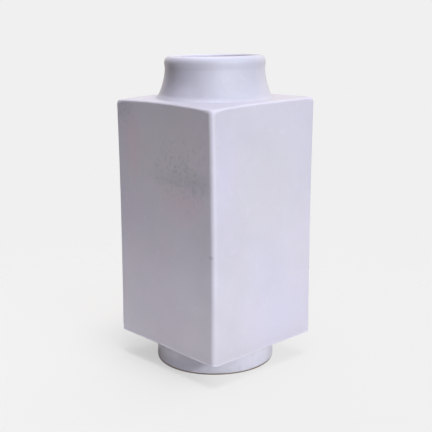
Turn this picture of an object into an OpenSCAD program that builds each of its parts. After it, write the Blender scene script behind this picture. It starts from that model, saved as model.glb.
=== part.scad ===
// Cong vase: a square body of clay slabs with a thrown round neck and a thrown round foot ring.
// The origin is the middle of the foot rim, on the surface that the vase stands on, with +Z up.

/* [Body] */
// Width of the square body across its flat sides
body_w = 126.5; // [116:0.5:180]
// Height of the square body, from the underside of its floor to the root of the neck
body_h = 221.5; // [120:0.5:320]
// Thickness of the four wall slabs
wall_t = 8; // [5:0.5:9]
// Rounding of the four upright arrises
arris_r = 4.5; // [2.5:0.25:5]

/* [Shoulder] */
// Thickness of the shoulder slab where the neck stands on it
shoulder_t = 9; // [8:0.5:14]
// Rounding of the upper edges of the shoulder
shoulder_r = 3; // [1.5:0.25:4]
// Fall of the shoulder from the neck to its four corners
shoulder_fall = 2.4; // [0.5:0.1:3]

/* [Floor] */
// Thickness of the floor slab
floor_t = 9; // [7:0.5:14]
// Rounding of the lower edges of the floor slab
floor_r = 1.5; // [0.75:0.25:2.5]

/* [Neck] */
// Diameter of the straight throat
throat_d = 77; // [60:0.5:80]
// Height of the neck above the shoulder
neck_h = 38; // [24:0.5:60]
// Thickness of the neck wall at its waist
neck_t = 5.9; // [4:0.1:8]
// Depth of the waist below the top of the lip
waist_drop = 11.7; // [9:0.1:16]
// Spread of the flare from the waist out to the shoulder
flare_reach = 8.5; // [5:0.25:12]
// Thickness of the rolled lip
lip_t = 6.8; // [4:0.1:9]
// Straight stretch of the lip between the rounding of its top and the rounding of its underside
lip_land = 2; // [0.5:0.1:4]
// Wall of the spigot that is let into the hole of the shoulder
spigot_t = 7; // [4:0.25:9]

/* [Foot] */
// Outer diameter of the foot ring
foot_d = 108.5; // [84:0.5:112]
// Height of the foot ring below the body
foot_h = 22.5; // [10:0.5:40]
// Width of the foot ring at its rim
foot_t = 7; // [5:0.25:9]
// Width of the foot ring at its root
foot_root_t = 9; // [7:0.25:14]
// Rounding of both edges of the foot rim
rim_r = 1.2; // [0.5:0.1:2]
// Depth to which the foot ring is let into the floor slab
foot_let = 3; // [1:0.25:5]

/* [Coils] */
// Width of the clay coils that are pressed into the inner corners
coil_w = 7; // [4:0.5:12]
// Thickness of the thin edges of a pressed coil
coil_edge = 0.6; // [0.4:0.1:1.2]

/* [Clearances] */
// Slip gap round the spigot of the neck and round the let-in foot ring
seat_gap = 0.25; // [0.1:0.05:0.5]
// Slip gap between the floor coil and the corner coils
coil_gap = 0.2; // [0.1:0.05:0.5]

/* [Hidden] */
$fn = 128;
// Fineness of the rounded edges of the floor
edge_fn = 32;
// Number of steps in the shoulder's outline along a flat, round half an arris and over its upper edge
flat_steps = 8;
arris_steps = 4;
round_steps = 6;
// Least rounding that is left of an arris where the upper edge of the shoulder goes round it
corner_min = 0.3;
// Overlap of a cut past the face that it goes through
cut_past = 1;

body_a = body_w / 2;
inner_a = body_a - wall_t;

floor_z = foot_h;
wall_z = floor_z + floor_t;
neck_z = floor_z + body_h;
shoulder_z = neck_z - shoulder_t;
wall_h = shoulder_z - wall_z;

throat_r = throat_d / 2;
waist_r = throat_r + neck_t;
waist_h = neck_h - waist_drop;
collar_r = waist_r + flare_reach;
// Radius of the hollow arc that is upright at the waist and meets the shoulder at the collar
flare_r = (waist_h * waist_h + flare_reach * flare_reach) / (2 * flare_reach);
lip_h = neck_h - lip_t / 2;
spigot_r = throat_r + spigot_t;

foot_r = foot_d / 2;
coil_hollow_r = coil_w - coil_edge;

// Sides and corners of the body in turn, each a quarter turn on from the one before it
SIDES = ["front", "right", "back", "left"];
CORNERS = ["front_left", "front_right", "back_right", "back_left"];
function turn_of(name, names) =
    [for (i = [0 : len(names) - 1]) if (names[i] == name) i * 360 / len(names)][0];

glaze = [0.84, 0.83, 0.90];
thin_glaze = [0.88, 0.86, 0.91];
bare_clay = [0.80, 0.74, 0.68];

// Square of half width a with its corners rounded to r
module rounded_square(a, r) {
    square([2 * a, 2 * (a - r)], center = true);
    square([2 * (a - r), 2 * a], center = true);
    for (x = [-1, 1], y = [-1, 1])
        translate([x * (a - r), y * (a - r)])
        circle(r = r);
}

// Copies of a child at the four corners of the body, drawn in by inset
module at_corners(inset) {
    for (x = [-1, 1], y = [-1, 1])
        translate([x * (body_a - inset), y * (body_a - inset), 0])
        children();
}

// Turned ring whose section stands on the rim, is rounded there and widens to its root
module foot_section() {
    rim_in = foot_r - foot_t;
    root_in = foot_r - foot_root_t;
    polygon([
        [rim_in, rim_r], [foot_r, rim_r],
        [foot_r, foot_h + foot_let], [root_in, foot_h + foot_let], [root_in, foot_h],
    ]);
    translate([rim_in + rim_r, 0])
    square([foot_t - 2 * rim_r, 2 * rim_r]);
    for (r = [rim_in + rim_r, foot_r - rim_r])
        translate([r, rim_r])
        circle(r = rim_r);
}

module foot_ring() {
    color(glaze)
    rotate_extrude()
    foot_section();
}

// Ring groove in the underside of the floor, which takes the root of the foot ring
module foot_groove() {
    root_in = foot_r - foot_root_t - seat_gap;
    translate([0, 0, -cut_past])
    difference() {
        cylinder(r = foot_r + seat_gap, h = foot_let + cut_past);
        translate([0, 0, -cut_past])
        cylinder(r = root_in, h = foot_let + 3 * cut_past);
    }
}

// Upright section of the floor slab, half width a, with its two lower edges rounded
module floor_section(a) {
    translate([-a, floor_r])
    square([2 * a, floor_t - floor_r]);
    translate([floor_r - a, 0])
    square([2 * (a - floor_r), floor_t]);
    for (x = [floor_r - a, a - floor_r])
        translate([x, floor_r])
        circle(r = floor_r, $fn = edge_fn);
}

// Square floor block with rounded arrises, whose lower edge runs round the corners unbroken
module floor_block() {
    for (side = ["front", "right"])
        rotate(turn_of(side, SIDES))
        rotate([90, 0, 90])
        linear_extrude(2 * (body_a - arris_r), center = true)
        floor_section(body_a);
    at_corners(arris_r)
    rotate_extrude($fn = edge_fn)
    intersection() {
        floor_section(arris_r);
        square([arris_r, floor_t]);
    }
}

module floor_slab() {
    color(glaze)
    translate([0, 0, floor_z])
    difference() {
        floor_block();
        foot_groove();
    }
}

// Wall slab with mitred ends, drawn at the front and turned to its side
module wall_slab(side) {
    color(glaze)
    rotate(turn_of(side, SIDES))
    translate([0, 0, wall_z])
    linear_extrude(wall_h)
    intersection() {
        rounded_square(body_a, arris_r);
        polygon([[-body_a, -body_a], [body_a, -body_a], [inner_a, -inner_a], [-inner_a, -inner_a]]);
    }
}

// Section of a coil pressed into a corner, with a hollow face and two thin edges
module coil_section(gap = 0) {
    difference() {
        square(coil_w + gap);
        translate([coil_w, coil_w])
        circle(r = coil_hollow_r - gap);
    }
}

// Upright coil along the mitre of two walls, drawn at the front left and turned to its corner
module corner_coil(corner) {
    color(bare_clay)
    rotate(turn_of(corner, CORNERS))
    translate([-inner_a, -inner_a, wall_z])
    linear_extrude(wall_h)
    coil_section();
}

// Coil round the seam of walls and floor, cut away where the corner coils stand
module floor_coil() {
    color(bare_clay)
    translate([0, 0, wall_z])
    difference() {
        for (side = SIDES)
            rotate(turn_of(side, SIDES))
            translate([-inner_a, -inner_a, 0])
            rotate([90, 0, 90])
            linear_extrude(2 * inner_a)
            coil_section();
        for (corner = CORNERS)
            rotate(turn_of(corner, CORNERS))
            translate([-inner_a - cut_past, -inner_a - cut_past, -cut_past])
            linear_extrude(coil_w + 2 * cut_past) {
                translate([cut_past, cut_past])
                coil_section(coil_gap);
                square([coil_w + coil_gap + cut_past, cut_past]);
                square([cut_past, coil_w + coil_gap + cut_past]);
            }
    }
}

// Stations along one side of the shoulder, from mitre to mitre: the share of the way from the middle of
// its flat to either end, and the swing round an arris
SIDE_STATIONS = concat(
    [for (step = [0 : arris_steps - 1]) [-1, 45 * (step / arris_steps - 1)]],
    [for (step = [0 : flat_steps]) [2 * step / flat_steps - 1, 0]],
    [for (step = [1 : arris_steps - 1]) [1, 45 * step / arris_steps]]);

// Outline of the shoulder's plan, drawn in by an inset
function shoulder_outline(inset) =
    let (corner = max(arris_r - inset, corner_min), flat = body_a - inset - corner)
    [for (side = SIDES, station = SIDE_STATIONS)
        let (
            turn = turn_of(side, SIDES),
            x = flat * station[0] + corner * sin(station[1]),
            y = -flat - corner * cos(station[1])
        )
        [x * cos(turn) - y * sin(turn), x * sin(turn) + y * cos(turn)]];

// Height of the shallow shoulder dome at a point of the plan, full at the collar, least at the corners
function dome_height(point) =
    let (corner = 2 * (body_a - shoulder_r) ^ 2)
    shoulder_t - shoulder_fall * (point * point - collar_r ^ 2) / (corner - collar_r ^ 2);

// Row of points over the shoulder's rounded upper edge, which rises along each side as the dome does
function edge_row(swing) =
    let (outline = shoulder_outline(shoulder_r * (1 - cos(swing))), crest = shoulder_outline(shoulder_r))
    [for (i = [0 : len(outline) - 1])
        [each outline[i], dome_height(crest[i]) - shoulder_r * (1 - sin(swing))]];

// Row of points on the dome, a share of the way from the crest of the rounded edge in to the collar
function dome_row(share) =
    let (crest = shoulder_outline(shoulder_r), count = len(crest))
    [for (i = [0 : count - 1])
        let (
            swing = 360 * i / count - 135,
            collar = collar_r * [cos(swing), sin(swing)],
            point = crest[i] + share * (collar - crest[i])
        )
        [each point, dome_height(point)]];

// Solid between rows of as many points each, which go round one above the other
module loft(rows) {
    count = len(rows[0]);
    top = count * (len(rows) - 1);
    polyhedron(
        points = [for (row = rows) each row],
        faces = concat(
            [[for (i = [0 : count - 1]) i], [for (i = [1 : count]) top + count - i]],
            [for (low = [0 : count : top - 1], i = [0 : count - 1])
                let (next = (i + 1) % count, high = low + count)
                each [[low + i, high + i, low + next], [high + i, high + next, low + next]]]
        )
    );
}

module shoulder_slab() {
    joint = [for (point = shoulder_outline(0)) [each point, 0]];
    edge = [for (step = [0 : round_steps]) edge_row(90 * step / round_steps)];
    color(glaze)
    translate([0, 0, shoulder_z])
    difference() {
        loft(concat([joint], edge, [dome_row(0.5), dome_row(1)]));
        translate([0, 0, -cut_past])
        cylinder(r = spigot_r + seat_gap, h = shoulder_t + 2 * cut_past);
    }
}

// Thrown neck: spigot, hollow flare, waist and rolled lip round one straight throat
module neck_section() {
    difference() {
        translate([throat_r, -shoulder_t])
        square([collar_r - throat_r, shoulder_t + lip_h]);
        translate([waist_r + flare_r, waist_h])
        circle(r = flare_r);
        translate([spigot_r, -shoulder_t - cut_past])
        square([collar_r, shoulder_t + cut_past]);
    }
    translate([throat_r, lip_h - lip_land])
    square([lip_t, lip_land]);
    for (height = [lip_h - lip_land, lip_h])
        translate([throat_r + lip_t / 2, height])
        circle(d = lip_t);
}

module neck() {
    color(thin_glaze)
    translate([0, 0, neck_z])
    rotate_extrude()
    neck_section();
}

foot_ring();
floor_slab();
wall_slab("front");  // wall_front
wall_slab("right");  // wall_right
wall_slab("back");  // wall_back
wall_slab("left");  // wall_left
corner_coil("front_left");  // corner_coil_front_left
corner_coil("front_right");  // corner_coil_front_right
corner_coil("back_right");  // corner_coil_back_right
corner_coil("back_left");  // corner_coil_back_left
floor_coil();
shoulder_slab();
neck();
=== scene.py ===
import math

import bpy
import numpy as np
from mathutils import Matrix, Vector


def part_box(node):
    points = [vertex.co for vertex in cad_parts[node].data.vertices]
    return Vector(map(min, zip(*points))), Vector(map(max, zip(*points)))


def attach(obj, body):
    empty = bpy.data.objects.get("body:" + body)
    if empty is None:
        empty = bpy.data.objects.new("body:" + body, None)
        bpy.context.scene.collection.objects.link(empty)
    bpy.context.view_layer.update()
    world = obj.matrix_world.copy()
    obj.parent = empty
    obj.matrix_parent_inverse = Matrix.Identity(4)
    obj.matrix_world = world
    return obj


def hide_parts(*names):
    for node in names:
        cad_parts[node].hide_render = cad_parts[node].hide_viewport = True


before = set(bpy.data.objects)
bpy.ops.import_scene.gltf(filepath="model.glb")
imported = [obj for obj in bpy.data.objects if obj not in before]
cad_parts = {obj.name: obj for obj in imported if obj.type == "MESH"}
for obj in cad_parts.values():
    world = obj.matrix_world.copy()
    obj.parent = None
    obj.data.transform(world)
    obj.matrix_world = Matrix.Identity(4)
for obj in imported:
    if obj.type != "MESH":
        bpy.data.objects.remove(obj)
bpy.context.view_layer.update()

# The view: a long lens looks down a little on the vase from just above its mouth, with one arris
# turned almost straight to it, so that the front wall is on the left and the right wall on the right.
VIEW_TURN = math.radians(46.75)
VIEW_TILT = math.radians(13.234)
VIEW_ROLL = math.radians(-0.141)
VIEW_DISTANCE = 0.7905
VIEW_ASIDE = 0.0007
VIEW_HEIGHT = 0.3204
LENS_MM = 73.21
FILM_MM = 36.0

eye = Matrix.Rotation(VIEW_TURN, 4, "Z") @ Matrix.Translation((VIEW_ASIDE, -VIEW_DISTANCE, VIEW_HEIGHT))
aim = Matrix.Rotation(math.pi / 2 - VIEW_TILT, 4, "X") @ Matrix.Rotation(VIEW_ROLL, 4, "Z")
camera = bpy.data.objects.new("view", bpy.data.cameras.new("view"))
camera.matrix_world = eye @ aim
camera.data.lens = LENS_MM
camera.data.sensor_width = FILM_MM
bpy.context.scene.collection.objects.link(camera)
bpy.context.scene.camera = camera
bpy.context.scene.view_settings.view_transform = "Standard"


# The studio: a broad cool light low on the right, a soft one overhead and a bright backdrop behind, in a
# dim room. The round paper floor fades into the backdrop, glows a little to the camera and has a lamp of
# its own, so that shadows on it stay faint; from below it can be seen through.
class Wire:
    """A socket of a node tree: its sums, products and powers with other wires or numbers are Math nodes."""

    def __init__(self, socket):
        self.socket = socket

    @staticmethod
    def node(tree, kind, settings, inputs, output=0):
        """Add a node of one kind: first its settings, then a value or a wire for each named input."""
        made = tree.nodes.new("ShaderNode" + kind)
        for name, value in settings.items():
            setattr(made, name, value)
        for name, value in inputs.items():
            if isinstance(value, Wire):
                tree.links.new(value.socket, made.inputs[name])
            else:
                made.inputs[name].default_value = value
        return Wire(made.outputs[output]) if made.outputs else None

    def maths(self, operation, first, second):
        """A Math node on two wires or numbers."""
        return Wire.node(self.socket.id_data, "Math", {"operation": operation}, {0: first, 1: second})

    def __add__(self, other):
        return self.maths("ADD", self, other)

    def __sub__(self, other):
        return self.maths("SUBTRACT", self, other)

    def __rsub__(self, other):
        return self.maths("SUBTRACT", other, self)

    def __mul__(self, other):
        return self.maths("MULTIPLY", self, other)

    def __pow__(self, other):
        return self.maths("POWER", self, other)

    __radd__ = __add__
    __rmul__ = __mul__

    def ease(self, low, high):
        """Smoothstep of the wire: 0 below low, 1 above high, an S-shaped cubic between."""
        inputs = {"Value": self, "From Min": low, "From Max": high}
        return Wire.node(self.socket.id_data, "MapRange", {"interpolation_type": "SMOOTHSTEP"}, inputs)

    def tint(self, first, second, blend="MIX"):
        """Mix of two colours, the first where the wire is 0 and the second where it is 1."""
        settings = {"data_type": "RGBA", "blend_type": blend}
        return Wire.node(self.socket.id_data, "Mix", settings, {0: self, 6: first, 7: second}, 2)


PALE = (0.871, 0.871, 0.871, 1.0)
UNLIT = (0.0, 0.0, 0.0, 1.0)
ROOM_DIM = (0.030, 0.006, 0.004, 1.0)
BACKDROP_GLOW = (0.88, 0.83, 0.74, 1.0)
BACKDROP_TURN, BACKDROP_RISE = 220, 10
BACKDROP_EDGE = (0.42, 0.66)
LAMPS = (
    {"turn": 80, "rise": 9, "focus": 6, "colour": (3.52, 3.90, 4.40, 1.0)},
    {"turn": 0, "rise": 90, "focus": 8, "colour": (3.94, 4.16, 4.88, 1.0)},
)
FLOOR_REACH, FLOOR_FADE = 0.26, 0.24
FLOOR_RINGS = 40
PAPER = (0.70, 0.69, 0.63, 1.0)
SHADED_PAPER, OPEN_PAPER = (0.166, 0.160, 0.151, 1.0), (0.057, 0.055, 0.052, 1.0)
SHADED_GLOW, OPEN_GLOW = (0.510, 0.510, 0.510, 1.0), (0.743, 0.743, 0.743, 1.0)
OPEN_WAY, OPEN_EDGE = (0.707, 0.707, 0.0), (-0.045, 0.015)
UNDER_FOOT_EDGE = (0.0515, 0.0525)
PAPER_Z = -0.00005
PAPER_LAMP_POWER, PAPER_LAMP_SPREAD = 3.5, math.radians(24)
PAPER_LAMP_TURN, PAPER_LAMP_LEAN = math.radians(73), math.radians(10.4)


def towards(tree, ray, turn, rise):
    """How nearly a ray points to a place in the room: the cosine of the angle to its turn and rise, or 0."""
    level = math.cos(math.radians(rise))
    place = (
        level * math.sin(math.radians(turn)),
        -level * math.cos(math.radians(turn)),
        math.sin(math.radians(rise)),
    )
    cosine = Wire.node(tree, "VectorMath", {"operation": "DOT_PRODUCT"}, {0: ray, 1: place}, "Value")
    return cosine.maths("MAXIMUM", cosine, 0.0)


studio = bpy.data.worlds.new("studio")
studio.use_nodes = True
bpy.context.scene.world = studio
room = studio.node_tree
room.nodes.clear()
ray = Wire.node(room, "TexCoord", {}, {}, "Generated")
backdrop = towards(room, ray, BACKDROP_TURN, BACKDROP_RISE).ease(*BACKDROP_EDGE)
lit_room = backdrop.tint(ROOM_DIM, BACKDROP_GLOW)
for lamp in LAMPS:
    spread = towards(room, ray, lamp["turn"], lamp["rise"]) ** lamp["focus"]
    lit_room = spread.tint(lit_room, lamp["colour"], "ADD")
seen_directly = Wire.node(room, "LightPath", {}, {}, "Is Camera Ray")
glow = Wire.node(room, "Background", {}, {"Color": seen_directly.tint(lit_room, PALE)})
Wire.node(room, "OutputWorld", {}, {"Surface": glow})


SAME_POINT, TOUCHING = 2e-7, 1e-7
TINY = 1e-20


def grid_normals(grid):
    """Unit normals of a grid: its slope along the columns crossed with its slope along the rows. A grid
    whose last column repeats its first is a ring, and a row that shrinks to a pole takes its neighbour's."""
    ring = np.allclose(grid[:, 0], grid[:, -1], atol=TOUCHING)
    wide = np.concatenate([grid[:, -2:-1], grid, grid[:, 1:2]], axis=1) if ring else grid
    across = np.gradient(wide, axis=1, edge_order=min(2, wide.shape[1] - 1))
    across = across[:, 1:-1] if ring else across
    upward = np.gradient(grid, axis=0, edge_order=min(2, grid.shape[0] - 1))
    normal = np.cross(across, upward)
    for pole, beside in ((0, 1), (-1, -2)):
        if np.ptp(grid[pole], axis=0).max() < TOUCHING:
            normal[pole] = normal[beside].mean(axis=0)
    return normal / np.maximum(np.linalg.norm(normal, axis=2, keepdims=True), TINY)


def joined_mesh(name, patches):
    """One mesh from patches, each a grid of points with rows going up and columns going counter-clockwise
    seen from outside above, with shares of thin glaze, which also carry painted light, and of bare clay.
    Neighbours share the points that lie on each other, quads that end in a pole become triangles, and each
    patch keeps its own smooth normals up to its border."""
    points, corners, normals = [], [], []
    thin, bare = [], []
    for grid, thin_glaze, bare_clay in patches:
        rows, columns = grid.shape[:2]
        first = sum(map(len, points))
        index = first + np.arange(rows * columns).reshape(rows, columns)
        corners.append(np.stack([index[:-1, :-1], index[:-1, 1:], index[1:, 1:], index[1:, :-1]], -1))
        points.append(grid.reshape(-1, 3))
        normals.append(grid_normals(grid).reshape(-1, 3))
        thin.append(np.broadcast_to(thin_glaze, (rows, columns)).ravel())
        bare.append(np.broadcast_to(bare_clay, (rows, columns)).ravel())
    points = np.concatenate(points)
    normals = np.concatenate(normals)
    corners = np.concatenate([quads.reshape(-1, 4) for quads in corners])
    grain = np.round(points / SAME_POINT).astype(np.int64)
    _, keep, merged = np.unique(grain, axis=0, return_index=True, return_inverse=True)
    faces = merged.ravel()[corners]
    fresh = faces != np.roll(faces, 1, axis=1)
    whole = fresh.sum(axis=1) >= 3
    sizes = fresh[whole].sum(axis=1)
    mesh = bpy.data.meshes.new(name)
    mesh.vertices.add(len(keep))
    mesh.vertices.foreach_set("co", points[keep].ravel())
    mesh.loops.add(int(sizes.sum()))
    mesh.loops.foreach_set("vertex_index", faces[whole][fresh[whole]])
    mesh.polygons.add(len(sizes))
    mesh.polygons.foreach_set("loop_start", np.cumsum(sizes) - sizes)
    mesh.polygons.foreach_set("use_smooth", np.ones(len(sizes), bool))
    mesh.update(calc_edges=True)
    mesh.normals_split_custom_set(normals[corners[whole][fresh[whole]]])
    for layer, values in (("thin_glaze", thin), ("bare_clay", bare)):
        spread = mesh.attributes.new(layer, "FLOAT", "POINT")
        spread.data.foreach_set("value", np.concatenate(values)[keep].astype(np.float32))
    return mesh


TURN_STEPS = 192
around = np.linspace(0.0, 2 * math.pi, TURN_STEPS + 1)


def turned(radius, height):
    """A profile carried once round the axis: each row is a circle of its own radius and height, either of
    which may change round the turn. The last column repeats the first."""
    radius, height, angle = np.broadcast_arrays(radius, height, around)
    return np.stack([radius * np.cos(angle), radius * np.sin(angle), height], axis=-1)


def upright(values):
    """A list of row values as a column, so that they spread over a grid."""
    return np.asarray(values, float)[:, None]


floor_disc = turned(upright(np.linspace(FLOOR_REACH + FLOOR_FADE, 0.0, FLOOR_RINGS)), PAPER_Z)
floor = bpy.data.objects.new("studio_floor", joined_mesh("studio_floor", [(floor_disc, 0.0, 0.0)]))
bpy.context.scene.collection.objects.link(floor)

paper = bpy.data.materials.new("pale_paper")
paper.use_nodes = True
tree = paper.node_tree
tree.nodes.clear()
spot = Wire.node(tree, "TexCoord", {}, {}, "Object")
distance = Wire.node(tree, "VectorMath", {"operation": "LENGTH"}, {0: spot}, "Value")
seen = Wire.node(tree, "LightPath", {}, {}, "Is Camera Ray")
# Towards +x and +y the paper glows more and takes less shade, on the other side it takes more shade: painted
# light and shade on the floor.
open_side = Wire.node(tree, "VectorMath", {"operation": "DOT_PRODUCT"}, {0: spot, 1: OPEN_WAY}, "Value")
open_side = open_side.ease(*OPEN_EDGE)
# Under the foot the paper glows for all rays but the camera's, which lights the hollow of the foot ring:
# painted light.
glow_under_foot = 1 - distance.ease(*UNDER_FOOT_EDGE)
sheet = Wire.node(tree, "BsdfPrincipled", {}, {
    "Base Color": seen.tint(PAPER, open_side.tint(SHADED_PAPER, OPEN_PAPER)),
    "Roughness": 0.9,
    "Specular IOR Level": 0.0,
    "Emission Color": seen.tint(glow_under_foot.tint(UNLIT, PALE), open_side.tint(SHADED_GLOW, OPEN_GLOW)),
    "Emission Strength": 1.0,
})
gone = Wire.node(tree, "BsdfTransparent", {}, {})
from_below = Wire.node(tree, "NewGeometry", {}, {}, "Backfacing")
faded = from_below.maths("MAXIMUM", from_below, distance.ease(FLOOR_REACH, FLOOR_REACH + FLOOR_FADE))
fading_sheet = Wire.node(tree, "MixShader", {}, {0: faded, 1: sheet, 2: gone})
Wire.node(tree, "OutputMaterial", {}, {"Surface": fading_sheet})
floor.data.materials.append(paper)

paper_lamp = bpy.data.objects.new("paper_lamp", bpy.data.lights.new("paper_lamp", "SUN"))
paper_lamp.data.energy = PAPER_LAMP_POWER
paper_lamp.data.angle = PAPER_LAMP_SPREAD
paper_lamp.data.cycles.max_bounces = 0
lamp_lean = Matrix.Rotation(PAPER_LAMP_LEAN, 4, "X")
paper_lamp.matrix_world = Matrix.Rotation(PAPER_LAMP_TURN, 4, "Z") @ lamp_lean
lit_by_it = bpy.data.collections.new("lit_by_paper_lamp")
lit_by_it.objects.link(floor)
paper_lamp.light_linking.receiver_collection = lit_by_it
bpy.context.scene.collection.objects.link(paper_lamp)


# The foot ring: stoneware thrown on the wheel, turned when leather-hard and let into the floor slab, which
# spread it a little at its front left. It is dipped with the rest, and its rim is wiped clean, so that a
# thin line of bare iron-brown clay shows.
foot_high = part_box("foot_ring")[1]
FOOT_R, FOOT_TOP = foot_high.x, foot_high.z
FLOOR_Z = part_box("floor_slab")[0].z
RIM_W, ROOT_W = 0.0070, 0.0090
RIM_ROUND = 0.0012
WIPED_TO, WIPED_WAVES = 0.0017, ((0.00022, 3, 1.0), (0.00013, 7, 0.4))
WIPED_BELOW, WIPED_ABOVE = 0.00015, 0.00030
GLAZE_COAT = 0.00025
FOOT_IN, FOOT_WAVES = 0.00014, ((0.00012, 2, 0.5),)
FOOT_SPREAD, SPREAD_SIDE = 0.0010, (245, 0.20, 1.00)
# Painted light on the foot: paler on its lit right side up to a slanting shadow line, at its far left and at
# the top of its left side.
PAINTED_LIGHT_RIGHT, RIGHT_BEARING, RIGHT_EDGE = 2.2, math.radians(20), (0.49, 0.62)
RIGHT_SLOPE, RIGHT_H = 16, 0.0038
THIN_RIM, RIM_FADE = 0.6, 0.0080
PAINTED_LIGHT_LEFT, LEFT_SIDE = 0.7, (225, 0.80, 0.96)
PAINTED_LIGHT_TOP, TOP_SIDE, TOP_EDGE = 1.1, (245, 0.55, 0.95), (0.003, 0.014)


def ease(low, high, value):
    """Smoothstep of an array: 0 below low, 1 above high, an S-shaped cubic between."""
    share = np.clip((value - low) / (high - low), 0.0, 1.0)
    return share * share * (3 - 2 * share)


def arc(middle, radius, start, stop, steps, tall=1.0):
    """Points (radius, height) on a circle about a middle between two angles, counted from outwards up. A
    tall one is an ellipse, that many times as high as it is wide."""
    swing = np.radians(np.linspace(start, stop, steps + 1))
    return np.stack([middle[0] + radius * np.cos(swing), middle[1] + tall * radius * np.sin(swing)], axis=1)


def line(start, stop, steps):
    """Points in even steps on the straight stretch between two points."""
    return np.linspace(start, stop, steps + 1)


def profile(*stretches):
    """Stretches of points set end to end, without the points that would be doubled."""
    return np.concatenate([stretches[0]] + [stretch[1:] for stretch in stretches[1:]])


def waves_round(waves):
    """Sum of sine waves round the turn, each of a height, a number of crests and a start."""
    return sum(height * np.sin(crests * around + start) for height, crests, start in waves)


def on_side(bearing, low, high):
    """How far each place round the turn is on a side: the cosine between it and the side's bearing in
    degrees, eased from 0 to 1 between two values."""
    return ease(low, high, np.cos(around - math.radians(bearing)))


wiped = WIPED_TO + waves_round(WIPED_WAVES)
rim_in, root_in = FOOT_R - RIM_W, FOOT_R - ROOT_W
foot_line = profile(
    line((root_in, FOOT_TOP), (root_in, FLOOR_Z), 3),
    line((root_in, FLOOR_Z), (rim_in, 2 * WIPED_TO), 12),
    line((rim_in, 2 * WIPED_TO), (rim_in, RIM_ROUND), 12),
    arc((rim_in + RIM_ROUND, RIM_ROUND), RIM_ROUND, 180, 270, 8),
    line((rim_in + RIM_ROUND, 0.0), (FOOT_R - RIM_ROUND, 0.0), 6),
    arc((FOOT_R - RIM_ROUND, RIM_ROUND), RIM_ROUND, 270, 360, 8),
    line((FOOT_R, RIM_ROUND), (FOOT_R, 2 * WIPED_TO), 16),
    line((FOOT_R, 2 * WIPED_TO), (FOOT_R, FOOT_TOP), 20),
)
foot_radius, foot_height = upright(foot_line[:, 0]), upright(foot_line[:, 1])
outside = ease(rim_in, FOOT_R, foot_radius)
wiped_clean = 1 - ease(wiped - WIPED_BELOW, wiped + WIPED_ABOVE, foot_height)
foot_spread = FOOT_SPREAD * on_side(*SPREAD_SIDE) * np.maximum(1 - foot_height / FLOOR_Z, 0.0)
foot_round = waves_round(FOOT_WAVES) - FOOT_IN + foot_spread
foot_skin = turned(foot_radius + foot_round - GLAZE_COAT * wiped_clean * (2 * outside - 1), foot_height)
foot_root = np.stack([foot_skin[-1], foot_skin[0]])
# The foot is paler on the right up to a slanting line that paints the edge of the slab's shadow, and a little
# at the far left and at the top of its left side: painted light. Near the wiped rim the paleness is thin
# glaze.
to_right = 0.5 + 0.5 * np.cos(around - RIGHT_BEARING) - RIGHT_SLOPE * (foot_height - RIGHT_H)
foot_thin_and_painted_light = np.maximum(PAINTED_LIGHT_RIGHT * ease(*RIGHT_EDGE, to_right), PAINTED_LIGHT_LEFT * on_side(*LEFT_SIDE))
foot_thin_and_painted_light = np.maximum(foot_thin_and_painted_light, THIN_RIM * (1 - ease(wiped, wiped + RIM_FADE, foot_height)))
foot_thin_and_painted_light = np.maximum(foot_thin_and_painted_light, PAINTED_LIGHT_TOP * on_side(*TOP_SIDE) * ease(*TOP_EDGE, foot_height))

COOL_TONE = (0.565, 0.548, 0.625, 1.0)
BLUSH_TONE = (0.620, 0.515, 0.550, 1.0)
MILKY_TONE = (0.70, 0.66, 0.71, 1.0)
SPECK_TONE = (0.37, 0.35, 0.37, 1.0)
BARE_CLAY = (0.28, 0.205, 0.150, 1.0)
BLOTCHES = {
    "thick": (0.045, 3.0, 0.3, 0.32, 0.68),
    "cool": (0.060, 2.0, 9.4, 0.46, 0.68),
    "blush": (0.055, 3.0, 4.1, 0.50, 0.70),
    "flecks": (0.006, 2.0, 3.6, 0.56, 0.74),
    "swarm": (0.042, 2.0, 7.7, 0.47, 0.66),
    "specks": (0.003, 2.0, 2.2, 0.50, 0.66),
}
STRENGTH = {"cool": 0.35, "blush": 0.22, "flecks": 0.16, "swarm": 0.10, "specks": 0.55, "thin": 0.45}
DULLING = {"thick": 0.06, "specks": 0.08, "bare": 0.30}
RAGGED, PATCHY, SWAY = (0.008, 3.0, 8.2), (0.006, 2.0, 5.5), 0.8
COARSE_PEEL, FINE_PEEL = (0.0045, 1.0, 1.1), (0.0014, 1.0, 6.3)
FINE_SHARE, PIT_SHARE = 0.3, 0.5


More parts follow.
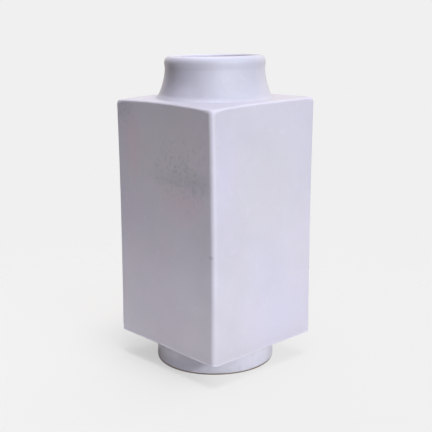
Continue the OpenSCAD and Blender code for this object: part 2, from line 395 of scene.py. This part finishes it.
def lavender_glaze(name, gloss, pale, deep, marks=(), swarms=()):
    """Lavender glaze over stoneware: it clouds from a pale to a deep tone with its thickness, blushes pink
    in faint patches, has milky flecks, fine dark specks in swarms and a skin like orange peel, thins out on
    edges and is wiped off where the clay is bare. The share of thin glaze also paints light: highlights on
    edges and lit places on the foot, lip and shoulder. Marks of a tone and a strength and swarms of specks
    that stand out have a place and a reach each; some marks paint light or shade. A blotch is given by the
    size, detail and drift of its clouds and the two values between which it sets in."""
    material = bpy.data.materials.new(name)
    material.use_nodes = True
    tree = material.node_tree
    tree.nodes.clear()
    place = Wire.node(tree, "TexCoord", {}, {}, "Object")

    def clouds(size, detail, drift):
        """Fractal noise with blotches of about one size, different for each drift."""
        inputs = {"Vector": place, "W": drift, "Scale": 1 / size, "Detail": detail}
        return Wire.node(tree, "TexNoise", {"noise_dimensions": "4D"}, inputs)

    def blotch(kind):
        """Clouds of one kind, eased from 0 to 1 between the two values of that kind."""
        *grain, low, high = BLOTCHES[kind]
        return clouds(*grain).ease(low, high)

    def sway(grain):
        """Clouds that go evenly above and below 0."""
        return SWAY * (clouds(*grain) - 0.5)

    def layer(name):
        """A share that the mesh keeps at its points."""
        return Wire.node(tree, "Attribute", {"attribute_name": name}, {}, "Fac")

    def near(middle, reach):
        """1 at a place, fading to 0 at its reach across, in and up, with a ragged border."""
        offset = Wire.node(tree, "VectorMath", {"operation": "SUBTRACT"}, {0: place, 1: middle})
        offset = Wire.node(tree, "VectorMath", {"operation": "DIVIDE"}, {0: offset, 1: reach})
        distance = Wire.node(tree, "VectorMath", {"operation": "LENGTH"}, {0: offset}, "Value")
        return 1 - (distance + sway(RAGGED)).ease(0.0, 1.0)

    thick = blotch("thick")
    swarm = STRENGTH["swarm"] * blotch("swarm")
    for middle, reach in swarms:
        swarm = swarm + near(middle, reach)
    specks = blotch("specks") * swarm
    thin = layer("thin_glaze") * (1 + sway(PATCHY))
    bare = layer("bare_clay")
    colour = thick.tint(pale, deep)
    colour = (STRENGTH["cool"] * blotch("cool")).tint(colour, COOL_TONE)
    colour = (STRENGTH["blush"] * blotch("blush")).tint(colour, BLUSH_TONE)
    for tone, strength, middle, reach in marks:
        colour = (strength * near(middle, reach)).tint(colour, tone)
    colour = (STRENGTH["flecks"] * blotch("flecks")).tint(colour, MILKY_TONE)
    colour = (STRENGTH["specks"] * specks).tint(colour, SPECK_TONE)
    # The thin-glaze share pales the colour towards milky; where it carries painted light it stands for
    # highlights and lit places.
    colour = (STRENGTH["thin"] * thin).tint(colour, MILKY_TONE)
    colour = bare.tint(colour, BARE_CLAY)
    peel = clouds(*COARSE_PEEL) + FINE_SHARE * clouds(*FINE_PEEL) - PIT_SHARE * specks
    skin = Wire.node(tree, "Bump", {}, {"Strength": 0.12, "Distance": 0.0004, "Height": peel})
    glazed = Wire.node(tree, "BsdfPrincipled", {}, {
        "Base Color": colour,
        "Roughness": gloss + DULLING["thick"] * thick + DULLING["specks"] * specks + DULLING["bare"] * bare,
        "Normal": skin,
        "IOR": 1.5,
    })
    Wire.node(tree, "OutputMaterial", {}, {"Surface": glazed})
    return material


def add_piece(node, material, patches):
    """Put a piece in the scene in place of the CAD node of the same name."""
    piece = bpy.data.objects.new(node + "_fired", joined_mesh(node + "_fired", patches))
    piece.data.materials.append(material)
    bpy.context.scene.collection.objects.link(piece)
    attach(piece, "root")
    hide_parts(node)


# The foot's glaze tones are darker than the body's: painted shade under the overhanging floor slab.
FOOT_PALE, FOOT_DEEP = (0.450, 0.420, 0.458, 1.0), (0.415, 0.388, 0.428, 1.0)
FOOT_GLOSS = 0.36
foot_glaze = lavender_glaze("foot_glaze", FOOT_GLOSS, FOOT_PALE, FOOT_DEEP)
add_piece("foot_ring", foot_glaze, [
    (foot_skin, foot_thin_and_painted_light, wiped_clean),
    (foot_root, 0.0, 0.0),
])


# The floor slab: a square of rolled stoneware with rounded arrises. The foot ring sits in a groove of its
# underside, and the four walls stand on it. Its softened lower edge sagged at the front corner, rose at the
# front left one and is lined by a bead of glaze. Along that edge the glaze is paler: thin glaze, and a
# painted highlight.
body_low, body_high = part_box("wall_front")
BODY_A = -body_low.y
WALL_Z, SHOULDER_Z = body_low.z, body_high.z
NECK_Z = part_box("shoulder_slab")[1].z
ARRISES = (0.0030, 0.0045, 0.0030, 0.0038)
ARRIS_STEPS, FLAT_STEPS = 6, 24
ARRIS_THIN_AND_HIGHLIGHT = 0.5
FLOOR_ROUND, FLOOR_CORNER = 0.0010, 0.0006
FLOOR_SAG, SAG_EDGE = 0.0016, (0.3, 0.8)
FLOOR_LIFT, LIFT_EDGE = 0.0010, (0.1, 0.9)
GLAZE_BEAD, BEAD_TOP, BEAD_BACK = 0.00045, 0.09, 0.12
GROOVE_GAP = 0.0001
UNDER_STEPS = 6
LOW_EDGE_THIN_AND_HIGHLIGHT, SIDE_THIN_AND_HIGHLIGHT = 3.0, 1.0
SKEW = 0.0017
BOW = 0.0011
SLACK, SLACK_WAVES = 0.00008, ((0.45, 58, 0, 21, 0.7), (0.35, 0, -47, 33, 2.1), (0.20, 71, 71, -52, 4.0))


def side_plan(half, first, last, flat_steps):
    """Plan of the front side of a rounded square, from mitre to mitre, with a rounding at either end: for
    each column its point and the way it faces. Half a corner is an eighth of a circle."""
    swing = np.radians(np.linspace(0.0, 45.0, ARRIS_STEPS + 1))
    bend = np.stack([np.sin(swing), np.cos(swing) - 1], axis=1)
    flat = np.linspace((first - half, -half), (half - last, -half), flat_steps + 1)
    points = np.concatenate([
        flat[0] - first * bend[:0:-1],
        flat,
        flat[-1] + last * bend[1:] * (1, -1),
    ])
    swing = np.concatenate([-swing[:0:-1], np.zeros(flat_steps + 1), swing[1:]])
    return points, np.stack([np.sin(swing), -np.cos(swing)], axis=1)


def quarter_turns(plan, quarters):
    """Points or directions of a plan turned by a number of quarter turns about the axis."""
    swing = quarters * math.pi / 2
    turn = np.array([[math.cos(swing), math.sin(swing)], [-math.sin(swing), math.cos(swing)]])
    return plan @ turn


def whole_plan(half, roundings, flat_steps):
    """Plan of all four sides in one ring, front, right, back and left; its last column repeats its first."""
    rings = [], []
    for quarter, first in enumerate(roundings):
        plan = side_plan(half, first, roundings[(quarter + 1) % 4], flat_steps)
        for ring, part in zip(rings, plan):
            ring.append(quarter_turns(part, quarter)[bool(ring):])
    return [np.concatenate(ring) for ring in rings]


def slab_skin(plan, inset, height):
    """Outer skin of the body: each row is the plan drawn in by its inset at its height. Walls that were
    rolled and fired by hand are never true: three slow waves roll across them, each of a share, a slope along
    x, y and z and a start, the front and back walls bow in at half height, and the front one leans in at its
    lower right end, by a share that fades to its left end, to the shoulder and to the back."""
    points, facing = plan
    inset, height, x = np.broadcast_arrays(inset, height, points[:, 0])
    y = np.broadcast_to(points[:, 1], x.shape)
    rise = np.clip((height - FLOOR_Z) / (NECK_Z - FLOOR_Z), 0.0, 1.0)
    waves = sum(
        share * np.sin(per_x * x + per_y * y + per_z * height + start)
        for share, per_x, per_y, per_z, start in SLACK_WAVES
    )
    level = points - (inset + SLACK * (1 - waves))[..., None] * facing
    skew = SKEW * (1 - rise) * ease(-BODY_A, BODY_A, x) * (0.5 - 0.5 * y / BODY_A)
    bow = -4 * BOW * rise * (1 - rise) * y / BODY_A
    return np.stack([level[..., 0], level[..., 1] + skew + bow, height], axis=-1)


def blended(outer, inner, steps):
    """Rows of points in even steps from one row to another."""
    share = np.linspace(0.0, 1.0, steps + 1)[:, None, None]
    return outer + share * (inner - outer)


def ring_beside(row, radius, height):
    """A circle about the axis whose points lie on the same rays as the points of a row."""
    ray = row[:, :2] / np.linalg.norm(row[:, :2], axis=1, keepdims=True)
    return np.concatenate([radius * ray, np.full((len(row), 1), height)], axis=1)


def on_arris(facing):
    """How far each column is on an arris: 1 where it faces both ways alike, easing to 0 on the flats."""
    return ease(0.0, 1.0, 2 * np.abs(facing[:, 0] * facing[:, 1]))


ring_plan = whole_plan(BODY_A, ARRISES, FLAT_STEPS)
body_arris = on_arris(ring_plan[1])
plan_x, plan_y = ring_plan[0].T / BODY_A
floor_round = FLOOR_ROUND + FLOOR_CORNER * body_arris
floor_sag = FLOOR_SAG * ease(*SAG_EDGE, (plan_x - plan_y) / 2)
floor_sag = floor_sag - FLOOR_LIFT * ease(*LIFT_EDGE, -(plan_x + plan_y) / 2)
floor_bend = upright(np.radians(np.linspace(-90.0, 0.0, 9)))
above = upright([0.03, 0.06, BEAD_TOP, BEAD_BACK, 0.25, 0.40, 0.60, 0.80, 1.0])
behind_bead = GLAZE_BEAD * ease(0.0, BEAD_TOP, above) * (1 - ease(BEAD_BACK, 1.0, above))
floor_inset = np.concatenate([
    floor_round * (1 - np.cos(floor_bend)),
    np.broadcast_to(behind_bead, (len(above), len(floor_round))),
])
floor_height = np.concatenate([
    FLOOR_Z - floor_sag + floor_round * (1 + np.sin(floor_bend)),
    WALL_Z - (1 - above) * (WALL_Z - FLOOR_Z + floor_sag - floor_round),
])
floor_skirt = slab_skin(ring_plan, floor_inset, floor_height)
groove_out = ring_beside(floor_skirt[0], FOOT_R + GROOVE_GAP, FLOOR_Z)
groove_in = ring_beside(floor_skirt[0], root_in - 2 * GROOVE_GAP, FLOOR_Z)
groove_roof = np.array([0.0, 0.0, FOOT_TOP + GROOVE_GAP - FLOOR_Z])
floor_middle = ring_beside(floor_skirt[0], 0.0, FLOOR_Z)
floor_top_middle = ring_beside(floor_skirt[0], 0.0, WALL_Z)
under_skirt = blended(groove_out, floor_skirt[0], UNDER_STEPS)
# Paler glaze along the lower edge and the arrises: thin glaze, and a painted highlight.
floor_edge = np.zeros(UNDER_STEPS + len(floor_bend) + len(above))
floor_edge[UNDER_STEPS:-len(above)] = np.linspace(LOW_EDGE_THIN_AND_HIGHLIGHT, SIDE_THIN_AND_HIGHLIGHT, len(floor_bend))
arris_rows = np.arange(len(floor_edge)) >= UNDER_STEPS + len(floor_bend) // 3
floor_thin_and_highlight = np.maximum(upright(floor_edge), ARRIS_THIN_AND_HIGHLIGHT * body_arris * upright(arris_rows))
BODY_PALE, BODY_DEEP = (0.610, 0.560, 0.592, 1.0), (0.565, 0.518, 0.550, 1.0)
WARM_TONE = (0.600, 0.548, 0.548, 1.0)
PURPLE_TONE = (0.575, 0.512, 0.575, 1.0)
SMOKY_TONE = (0.470, 0.440, 0.455, 1.0)
CHIP_TONE = (0.220, 0.195, 0.190, 1.0)
PEARL_TONE = (0.592, 0.545, 0.552, 1.0)
LILAC_TONE = (0.595, 0.545, 0.625, 1.0)
MARKS = (
    # The warm tone over the front wall is partly the glaze's own colour and partly painted light, the warmer
    # light on that shaded wall.
    (WARM_TONE, 0.7, (0.000, -BODY_A, 0.200), (0.110, 0.012, 0.120)),
    (PURPLE_TONE, 0.35, (0.000, -BODY_A, 0.080), (0.120, 0.012, 0.130)),
    (PURPLE_TONE, 0.6, (-0.044, -BODY_A, 0.143), (0.034, 0.012, 0.026)),
    (BLUSH_TONE, 1.0, (-0.040, -BODY_A, 0.205), (0.016, 0.012, 0.042)),
    (BLUSH_TONE, 0.9, (0.026, -BODY_A, 0.160), (0.038, 0.012, 0.024)),
    (SMOKY_TONE, 0.6, (0.034, -BODY_A, 0.179), (0.062, 0.012, 0.016)),
    (SMOKY_TONE, 0.6, (-0.052, -BODY_A, 0.238), (0.018, 0.012, 0.020)),
    (PEARL_TONE, 0.9, (BODY_A, 0.005, 0.172), (0.012, 0.065, 0.070)),
    (LILAC_TONE, 0.8, (BODY_A, 0.025, 0.045), (0.012, 0.075, 0.060)),
    (LILAC_TONE, 0.6, (BODY_A, -0.050, 0.190), (0.012, 0.022, 0.070)),
    (CHIP_TONE, 0.8, (BODY_A - 0.0030, -BODY_A, 0.1183), (0.0045, 0.0045, 0.0028)),
)
SWARMS = (
    ((0.026, -BODY_A, 0.184), (0.060, 0.012, 0.042)),
    ((-0.050, -BODY_A, 0.236), (0.024, 0.012, 0.026)),
)
BODY_GLOSS = 0.33
body_glaze = lavender_glaze("body_glaze", BODY_GLOSS, BODY_PALE, BODY_DEEP, MARKS, SWARMS)
add_piece("floor_slab", body_glaze, [
    (blended(floor_middle, groove_in, 6), 0.0, 0.0),
    (blended(groove_in, groove_in + groove_roof, 1), 0.0, 0.0),
    (blended(groove_in + groove_roof, groove_out + groove_roof, 1), 0.0, 0.0),
    (blended(groove_out + groove_roof, groove_out, 1), 0.0, 0.0),
    (np.concatenate([under_skirt, floor_skirt[1:]]), floor_thin_and_highlight, 0.0),
    (blended(floor_skirt[-1], floor_top_middle, 8), 0.0, 0.0),
])


# The four walls: slabs of rolled stoneware, mitred at both ends and luted to each other with slip. They
# bowed a little in the kiln. The arrises are scraped round, so that half of each belongs to either wall, and
# their glaze is paler: thin glaze, and a painted highlight.
WALL_T = 0.0080
INNER_A = BODY_A - WALL_T
WALL_ROWS = 64
WALLS = ("wall_front", "wall_right", "wall_back", "wall_left")


def closed_slab(outer, inner, wear):
    """Patches of a slab between an outer and an inner grid: both faces and the four narrow sides."""
    return [
        (outer, wear, 0.0),
        (inner[:, ::-1], 0.0, 0.0),
        (np.stack([inner[0], outer[0]]), 0.0, 0.0),
        (np.stack([outer[-1], inner[-1]]), 0.0, 0.0),
        (np.stack([inner[:, 0], outer[:, 0]], axis=1), 0.0, 0.0),
        (np.stack([outer[:, -1], inner[:, -1]], axis=1), 0.0, 0.0),
    ]


wall_heights = upright(np.linspace(WALL_Z, SHOULDER_Z, WALL_ROWS + 1))
for quarter, wall in enumerate(WALLS):
    wall_plan = side_plan(BODY_A, ARRISES[quarter], ARRISES[(quarter + 1) % 4], FLAT_STEPS)
    wall_plan = [quarter_turns(part, quarter) for part in wall_plan]
    wall_outside = slab_skin(wall_plan, 0.0, wall_heights)
    # Paler glaze on the arrises: thin glaze, and a painted highlight.
    wall_thin_and_highlight = ARRIS_THIN_AND_HIGHLIGHT * on_arris(wall_plan[1])
    from_middle = np.linspace(-1.0, 1.0, len(wall_thin_and_highlight))
    inner_row = INNER_A * np.stack([from_middle, -np.ones_like(from_middle)], axis=1)
    inner_row = np.broadcast_to(quarter_turns(inner_row, quarter), (WALL_ROWS + 1, len(from_middle), 2))
    wall_inside = np.concatenate([inner_row, wall_outside[..., 2:]], axis=-1)
    add_piece(wall, body_glaze, closed_slab(wall_outside, wall_inside, wall_thin_and_highlight))


# The coils: ropes of soft stoneware pressed with the thumb into the four inner mitres and round the seam
# of walls and floor, which seals them. Each has a hollow face with a thumb mark at every step.
COIL_W, COIL_EDGE = 0.0070, 0.0006
COIL_CLEAR, CLEAR_FROM = 0.0003, 0.004
THUMB_STEP, THUMB_DEPTH = 0.0170, 0.0006
HOLLOW_STEPS = 12
CREASE = HOLLOW_STEPS // 2
COIL_ROWS, COIL_SIDE_STEPS = 120, 60
CORNER_COILS = (
    "corner_coil_front_left", "corner_coil_front_right",
    "corner_coil_back_right", "corner_coil_back_left",
)


def thumb_marks(along):
    """How deep the thumb went in at each place along a coil: a whole number of even waves from 0 to 1."""
    marks = round(float(np.ptp(along)) / THUMB_STEP)
    return 0.5 - 0.5 * np.cos(2 * math.pi * marks * (along - along[0]) / np.ptp(along))


def hollow_face(along):
    """Distances of a coil's hollow face from the two surfaces that it seals: a quarter of a circle about
    the point one coil width from both, made deeper towards its middle by the thumb marks."""
    swing = np.radians(np.linspace(270.0, 180.0, HOLLOW_STEPS + 1))
    deeper = THUMB_DEPTH * upright(thumb_marks(along)) * np.sin(2 * (swing - math.pi))
    radius = COIL_W - COIL_EDGE + deeper
    return COIL_W + radius * np.cos(swing), COIL_W + radius * np.sin(swing)


def seat_faces(along):
    """Distances of a coil's two flat faces from the two surfaces that it seals, one after the other."""
    slide = np.linspace(-1.0, 1.0, HOLLOW_STEPS + 1)
    seat = COIL_W * np.maximum(-slide, 0.0), COIL_W * np.maximum(slide, 0.0)
    return [np.broadcast_to(distance, (len(along), HOLLOW_STEPS + 1)) for distance in seat]


def coil_patches(hollow, seat):
    """Patches of a coil that is open at both ends, with a crisp crease along the seam that it seals."""
    patches = closed_slab(hollow, seat, 0.0)
    patches[1:2] = [(seat[:, :CREASE - 1:-1], 0.0, 0.0), (seat[:, CREASE::-1], 0.0, 0.0)]
    return patches


INSIDE_GLOSS, INSIDE_DEEP = 0.46, (0.52, 0.48, 0.50, 1.0)
inside_glaze = lavender_glaze("inside_glaze", INSIDE_GLOSS, BODY_DEEP, INSIDE_DEEP)
coil_heights = np.linspace(WALL_Z, SHOULDER_Z, COIL_ROWS + 1)
for quarter, coil in enumerate(CORNER_COILS):
    coil_faces = []
    for from_left, from_front in (hollow_face(coil_heights), seat_faces(coil_heights)):
        coil_plan = quarter_turns(np.stack([from_left - INNER_A, from_front - INNER_A], axis=-1), quarter)
        coil_rise = np.broadcast_to(upright(coil_heights), coil_plan.shape[:2])
        coil_faces.append(np.concatenate([coil_plan, coil_rise[..., None]], axis=-1))
    add_piece(coil, inside_glaze, coil_patches(*coil_faces))

coil_edge, coil_facing = whole_plan(INNER_A, 4 * (COIL_W,), COIL_SIDE_STEPS)
coil_struck = coil_edge - COIL_W * coil_facing
to_corner = np.abs(coil_struck).min(axis=1)
coil_corner = INNER_A - COIL_W
coil_reach = COIL_W - (COIL_EDGE + COIL_CLEAR) * ease(coil_corner - CLEAR_FROM, coil_corner, to_corner)
coil_steps = np.linalg.norm(np.diff(coil_struck + 0.5 * COIL_W * coil_facing, axis=0), axis=1)
coil_along = np.concatenate([[0.0], np.cumsum(coil_steps)])
coil_faces = []
for from_floor, from_wall in (hollow_face(coil_along), seat_faces(coil_along)):
    coil_out = upright(coil_reach) * (1 - (1 - COIL_CLEAR / COIL_W) * from_wall / COIL_W)
    coil_plan = coil_struck[:, None] + coil_out[..., None] * coil_facing[:, None]
    coil_face = np.concatenate([coil_plan, WALL_Z + from_floor[..., None]], axis=-1)
    coil_faces.append(coil_face.swapaxes(0, 1))
coil_hollow, coil_seat = coil_faces
add_piece("floor_coil", inside_glaze, [
    (coil_hollow, 0.0, 0.0),
    (coil_seat[CREASE::-1], 0.0, 0.0),
    (coil_seat[:CREASE - 1:-1], 0.0, 0.0),
    (np.stack([coil_seat[0], coil_hollow[0]]), 0.0, 0.0),
    (np.stack([coil_hollow[-1], coil_seat[-1]]), 0.0, 0.0),
])


# The shoulder: a stoneware slab with a round hole for the neck, laid on the four walls while they were
# soft. It sags from the neck to its corners in a shallow dome, least at the back right, and its upper edge
# is sponged round. Its top is paler towards the front left with painted light, and the glaze on its upper
# edge is paler: thin glaze, and a painted highlight.
SHOULDER_FALL = 0.0024
SHOULDER_ROUND = 0.0019
CORNER_IN, CORNER_DROP, CORNER_EDGE = 0.0010, 0.0024, (0.78, 0.97)
EVENED = 1.1
COLLAR_R = 0.0529
HOLE_R = 0.04575
EDGE_SWING = np.radians(np.linspace(0.0, 86.0, 11))
SIDE_STEPS, TOP_STEPS = 4, 24
TOP_EDGE_THIN_AND_HIGHLIGHT, WORN_ROWS = 0.6, 3.0
SHOULDER_LEFT_PAINTED_LIGHT, LEFT_EDGE = 1.2, (0.25, 0.75)


def dome(x, y):
    """Height of the shoulder: level at the collar, falling with the square of the distance from the axis, by
    a share that goes down to nothing and a little past it towards the back right corner, which stayed up."""
    corner = 2 * (BODY_A - SHOULDER_ROUND) ** 2
    fall = SHOULDER_FALL * (1 - EVENED * ease(0.0, 2 * BODY_A, x + y))
    return NECK_Z - fall * (x ** 2 + y ** 2 - COLLAR_R ** 2) / (corner - COLLAR_R ** 2)


body_corner = ease(*CORNER_EDGE, np.minimum(np.abs(plan_x), np.abs(plan_y)))
edge_line = slab_skin(ring_plan, upright([SHOULDER_ROUND]), NECK_Z)[0]
edge_drop = SHOULDER_ROUND + CORNER_DROP * body_corner
edge_height = dome(edge_line[:, 0], edge_line[:, 1]) - edge_drop
side_share = upright(np.linspace(0.0, 1.0, SIDE_STEPS + 1))
side_height = SHOULDER_Z + side_share * (edge_height - SHOULDER_Z)
edge_inset = (SHOULDER_ROUND + CORNER_IN * body_corner) * (1 - np.cos(upright(EDGE_SWING)))
shoulder_side = slab_skin(ring_plan, 0.0, side_height)
shoulder_edge = slab_skin(ring_plan, edge_inset, edge_height + edge_drop * np.sin(upright(EDGE_SWING)))
hole_line = ring_beside(edge_line, HOLE_R, NECK_Z)
shoulder_top = blended(shoulder_edge[-1], hole_line, TOP_STEPS)
shoulder_top[1:, :, 2] = dome(shoulder_top[1:, :, 0], shoulder_top[1:, :, 1])
hole_top = shoulder_top[-1]
hole_low = ring_beside(edge_line, HOLE_R, SHOULDER_Z)
shoulder_skin = np.concatenate([shoulder_side, shoulder_edge[1:], shoulder_top[1:]])
to_left = -(shoulder_skin[..., 0] + shoulder_skin[..., 1]) / (math.sqrt(2) * BODY_A)
# Paler glaze on the rounded upper edge: thin glaze, and a painted highlight.
edge_thin_and_highlight = TOP_EDGE_THIN_AND_HIGHLIGHT * np.concatenate([
    np.zeros(SIDE_STEPS + 1),
    np.sin(EDGE_SWING[1:]) ** 0.5,
    1 - ease(0.0, WORN_ROWS, np.arange(TOP_STEPS) + 1.0),
])
on_top = upright(np.arange(len(edge_thin_and_highlight)) >= len(edge_thin_and_highlight) - TOP_STEPS)
# The top is paler towards the front left: painted light.
side_thin_and_painted_light = np.where(on_top, SHOULDER_LEFT_PAINTED_LIGHT * ease(*LEFT_EDGE, to_left), ARRIS_THIN_AND_HIGHLIGHT * body_arris)
shoulder_thin_and_painted_light = np.maximum(upright(edge_thin_and_highlight), side_thin_and_painted_light)
add_piece("shoulder_slab", body_glaze, [
    (shoulder_skin, shoulder_thin_and_painted_light, 0.0),
    (blended(hole_top, hole_low, 2), 0.0, 0.0),
    (blended(hole_low, shoulder_side[0], 6), 0.0, 0.0),
])


# The neck: thrown on the wheel in stoneware with one hollow sweep from the shoulder through its waist to a
# rolled lip, which dips at the left, and let into the hole of the shoulder by a spigot. Glaze has gathered
# in the angle below it and run thin on the lip. The lip is also paler on its left and on its inside with
# painted light, and marks on the neck paint light and shade.
LIP_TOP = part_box("neck")[1].z
THROAT_R = 0.0385
WAIST_R, WAIST_Z = 0.0446, NECK_Z + 0.0263
FLARE_LEAN, FLARE_HOLLOW = 0.062, 7.5
GATHERED_H, GATHERED_W = 0.0045, 0.0020
GATHERED_SINK = 0.0001
LIP_OUT, LIP_RISE, LIP_IN = 0.0048, 0.0058, 0.0018
LIP_DIP, LIP_HIGH_BEARING = 0.00226, math.radians(-15)
NECK_IN, NECK_WAVES = 0.00015, ((0.00015, 2, 0.9),)
LIP_WEAR, LIP_PALER_FROM, LIP_PALER_FULL = 0.3, 1.3, 0.3
# Painted light on the lip: its left side and its inside are made paler, besides its thin glaze.
LIP_LEFT_PAINTED_LIGHT, LIP_LEFT_SIDE = 2.7, (225, -0.2, 0.9)
LIP_INSIDE_PAINTED_LIGHT = 1.8
SPIGOT_R = 0.0455
FLARE_STEPS, SWELL_STEPS = 40, 12

flare_drop = np.linspace(WAIST_Z - NECK_Z + GATHERED_SINK, 0.0, FLARE_STEPS + 1)
flare_foot = np.clip(1 - (WAIST_Z - NECK_Z - flare_drop) / GATHERED_H, 0.0, 1.0)
flare_r = WAIST_R + FLARE_LEAN * flare_drop + FLARE_HOLLOW * flare_drop ** 2 + GATHERED_W * flare_foot ** 2
lip_crest = THROAT_R + LIP_IN
swell = np.linspace(0.0, 1.0, SWELL_STEPS + 1)
swell_r = WAIST_R + (lip_crest + LIP_OUT - WAIST_R) * ease(0.0, 1.0, swell)
neck_line = profile(
    np.stack([flare_r, WAIST_Z - flare_drop], axis=1),
    np.stack([swell_r, WAIST_Z + swell * (LIP_TOP - LIP_RISE - WAIST_Z)], axis=1),
    arc((lip_crest, LIP_TOP - LIP_RISE), LIP_OUT, 0, 90, 20, LIP_RISE / LIP_OUT),
    arc((lip_crest, LIP_TOP - LIP_IN), LIP_IN, 90, 180, 12),
    line((THROAT_R, LIP_TOP - LIP_IN), (THROAT_R, SHOULDER_Z), 20),
)
neck_radius, neck_height = upright(neck_line[:, 0]), upright(neck_line[:, 1])
neck_rise = ease(NECK_Z, LIP_TOP, neck_height)
neck_round = (waves_round(NECK_WAVES) - NECK_IN) * neck_rise
lip_dip = LIP_DIP * (0.5 - 0.5 * np.cos(around - LIP_HIGH_BEARING)) * neck_rise
neck_skin = turned(neck_radius + neck_round, neck_height - lip_dip)
lip_inside = 1 - ease(THROAT_R, lip_crest, neck_radius)
# The lip is paler where its glaze is thin, and more so on its left and inside, which is painted light.
lip_thin_and_painted_light = LIP_WEAR + LIP_LEFT_PAINTED_LIGHT * on_side(*LIP_LEFT_SIDE) + LIP_INSIDE_PAINTED_LIGHT * lip_inside
lip_thin_and_painted_light = lip_thin_and_painted_light * ease(-LIP_PALER_FROM, -LIP_PALER_FULL, (neck_height - LIP_TOP) / LIP_RISE)
spigot_low = turned(upright([THROAT_R, SPIGOT_R]), SHOULDER_Z)
spigot_side = turned(SPIGOT_R, upright([SHOULDER_Z, NECK_Z - GATHERED_SINK]))
neck_seat = np.stack([spigot_side[-1], neck_skin[0]])
# Painted light and shade on the neck: paler under the lip on the front and left and low at the front left, a
# darker streak on the left that paints a dark reflection, and darker on the front right of the flare, painted
# shade over a highlight.
NECK_PAINTED_LIGHT = (
    (MILKY_TONE, 0.8, (-0.022, -0.038, WAIST_Z + 0.0032), (0.052, 0.046, 0.0055)),
    (SMOKY_TONE, 0.8, (-0.007, -0.044, WAIST_Z - 0.003), (0.012, 0.010, 0.016)),
    (SMOKY_TONE, 0.45, (0.042, -0.017, WAIST_Z - 0.012), (0.016, 0.026, 0.024)),
    (MILKY_TONE, 0.6, (0.008, -0.048, NECK_Z + 0.007), (0.022, 0.016, 0.013)),
)
NECK_PALE, NECK_DEEP = (0.585, 0.550, 0.590, 1.0), (0.545, 0.515, 0.558, 1.0)
NECK_GLOSS = 0.31
neck_glaze = lavender_glaze("neck_glaze", NECK_GLOSS, NECK_PALE, NECK_DEEP, NECK_PAINTED_LIGHT)
add_piece("neck", neck_glaze, [
    (neck_skin, lip_thin_and_painted_light, 0.0),
    (np.stack([neck_skin[-1], spigot_low[-1]]), 0.0, 0.0),
    (spigot_side, 0.0, 0.0),
    (neck_seat, 0.0, 0.0),
])
